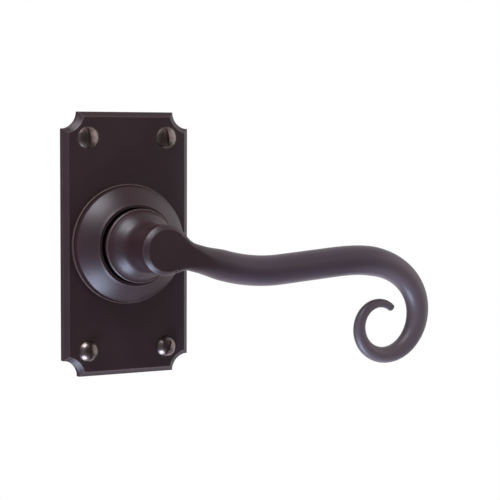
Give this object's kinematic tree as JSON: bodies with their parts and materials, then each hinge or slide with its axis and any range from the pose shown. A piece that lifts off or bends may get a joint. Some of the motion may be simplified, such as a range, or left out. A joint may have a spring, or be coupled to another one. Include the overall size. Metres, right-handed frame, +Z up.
{
  "type": "door lever handle",
  "caption": "Sprung door lever on a tall bevelled backplate: a turned bell, an S-curved arm that ends in a tapering scroll, and a square spindle behind.",
  "frame": {"origin": "where the spindle's axis meets the back of the plate, which lies on the door", "axes": "+X along the lever towards its scroll, +Y into the door along the spindle, -Y out of the door towards the hand, +Z up"},
  "size_m": [0.1446, 0.0816, 0.102],
  "materials": {
    "bronze_finish": "dark oil-rubbed bronze, satin",
    "screw_bronze": "dark bronze, polished by the screwdriver",
    "bush_brass": "turned brass",
    "steel": "bright zinc-plated steel",
    "spring_steel": "oiled spring steel"
  },
  "bodies": {
    "plate_body": {"backplate": "bronze_finish", "rose_ring": "bronze_finish", "bush": "bush_brass", "screw_top_left": "screw_bronze", "screw_top_right": "screw_bronze", "screw_bottom_left": "screw_bronze", "screw_bottom_right": "screw_bronze", "stop_pin_rest": "steel", "stop_pin_travel": "steel", "spring_anchor_pin": "steel", "rose_screw_1": "steel", "rose_screw_2": "steel", "rose_screw_3": "steel", "return_spring": "spring_steel"},
    "lever_body": {"lever": "bronze_finish", "stop_cam": "steel", "thrust_washer": "bush_brass", "circlip": "spring_steel", "spindle": "steel", "grub_screw": "steel"}
  },
  "joints": [
    {"name": "lever_turn", "type": "hinge", "parent": "plate_body", "child": "lever_body", "pos_m": [0, 0, 0], "axis": [0, 1, 0], "range_deg": [0, 45], "stiffness_Nm_per_rad": 0.5, "springref_deg": -28.65, "deforming": ["return_spring"]}
  ]
}
